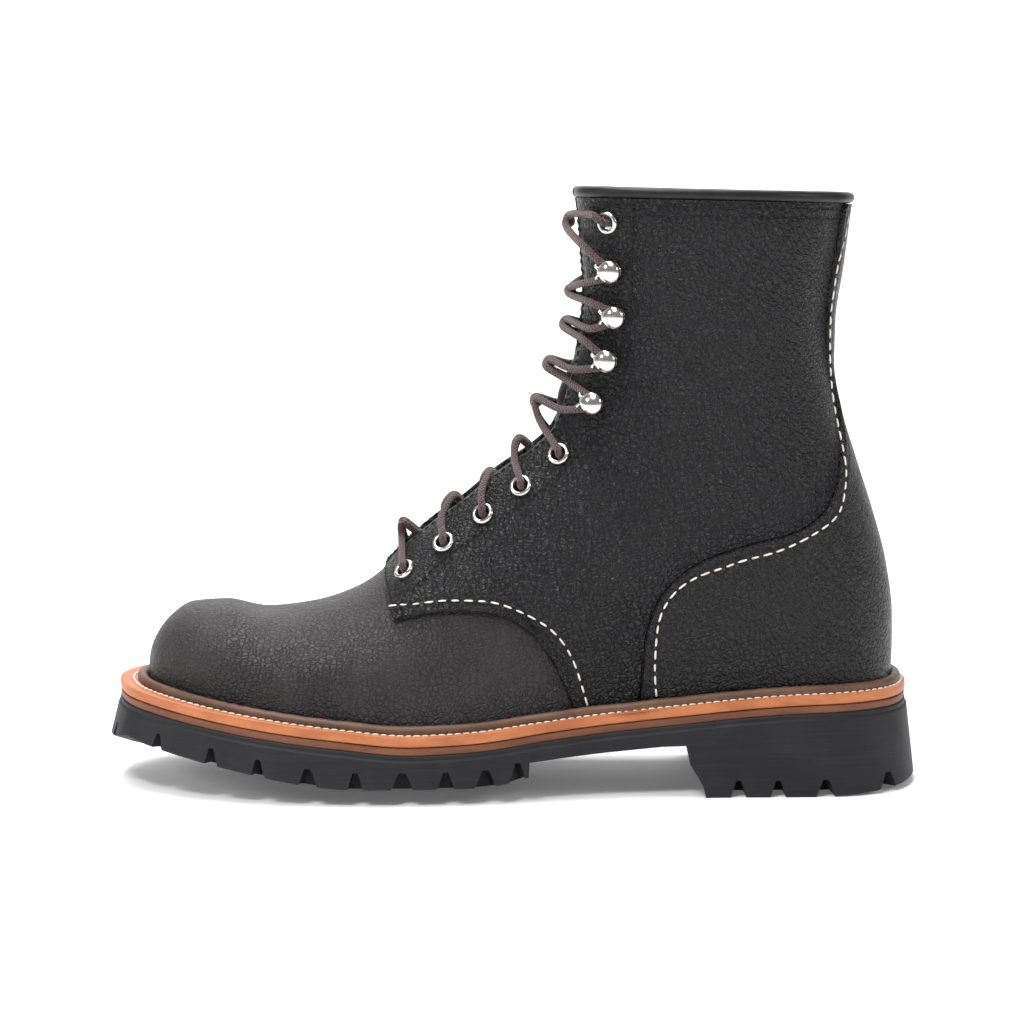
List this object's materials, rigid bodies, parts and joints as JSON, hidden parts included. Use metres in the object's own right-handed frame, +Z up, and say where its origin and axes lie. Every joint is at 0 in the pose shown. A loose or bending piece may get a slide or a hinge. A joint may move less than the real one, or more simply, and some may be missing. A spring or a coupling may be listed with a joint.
{
  "type": "logger boot",
  "caption": "Tall laced leather work boot with a raised heel, lug sole, storm welt, eyelets and speed hooks, open at the collar.",
  "frame": {"origin": "middle of the boot's box, on the floor under it", "axes": "+Z up, the toe towards -X, the outer side of the left foot towards -Y"},
  "size_m": [0.3148, 0.1156, 0.2299],
  "materials": {
    "upper_leather": "pebbled, satin",
    "quarter_leather": "pebbled, satin",
    "counter_leather": "pebbled, satin",
    "binding_leather": "smooth, satin",
    "tongue_leather": "soft, matt",
    "lug_rubber": "ground edge, matt",
    "midsole_tan": "edge dressed",
    "welt_tan": "edge dressed, stitched",
    "insole_leather": "natural",
    "nickel": "polished nickel",
    "lace_cord": "braided, matt"
  },
  "bodies": {
    "root": {"outsole": "lug_rubber", "midsole": "midsole_tan", "welt": "welt_tan", "insole": "insole_leather", "upper": "upper_leather", "quarter_lateral": "quarter_leather", "quarter_medial": "quarter_leather", "counter": "counter_leather", "collar_binding": "binding_leather", "tongue": "tongue_leather", "eyelet_lateral_1": "nickel", "eyelet_lateral_2": "nickel", "eyelet_lateral_3": "nickel", "eyelet_lateral_4": "nickel", "eyelet_lateral_5": "nickel", "eyelet_lateral_6": "nickel", "hook_lateral_1": "nickel", "hook_lateral_2": "nickel", "hook_lateral_3": "nickel", "hook_lateral_4": "nickel", "eyelet_medial_1": "nickel", "eyelet_medial_2": "nickel", "eyelet_medial_3": "nickel", "eyelet_medial_4": "nickel", "eyelet_medial_5": "nickel", "eyelet_medial_6": "nickel", "hook_medial_1": "nickel", "hook_medial_2": "nickel", "hook_medial_3": "nickel", "hook_medial_4": "nickel", "lace_bar": "lace_cord", "lace_crossing_1": "lace_cord", "lace_crossing_2": "lace_cord", "lace_crossing_3": "lace_cord", "lace_crossing_4": "lace_cord", "lace_crossing_5": "lace_cord", "lace_crossing_6": "lace_cord", "lace_crossing_7": "lace_cord", "lace_crossing_8": "lace_cord", "lace_crossing_9": "lace_cord"}
  },
  "joints": []
}
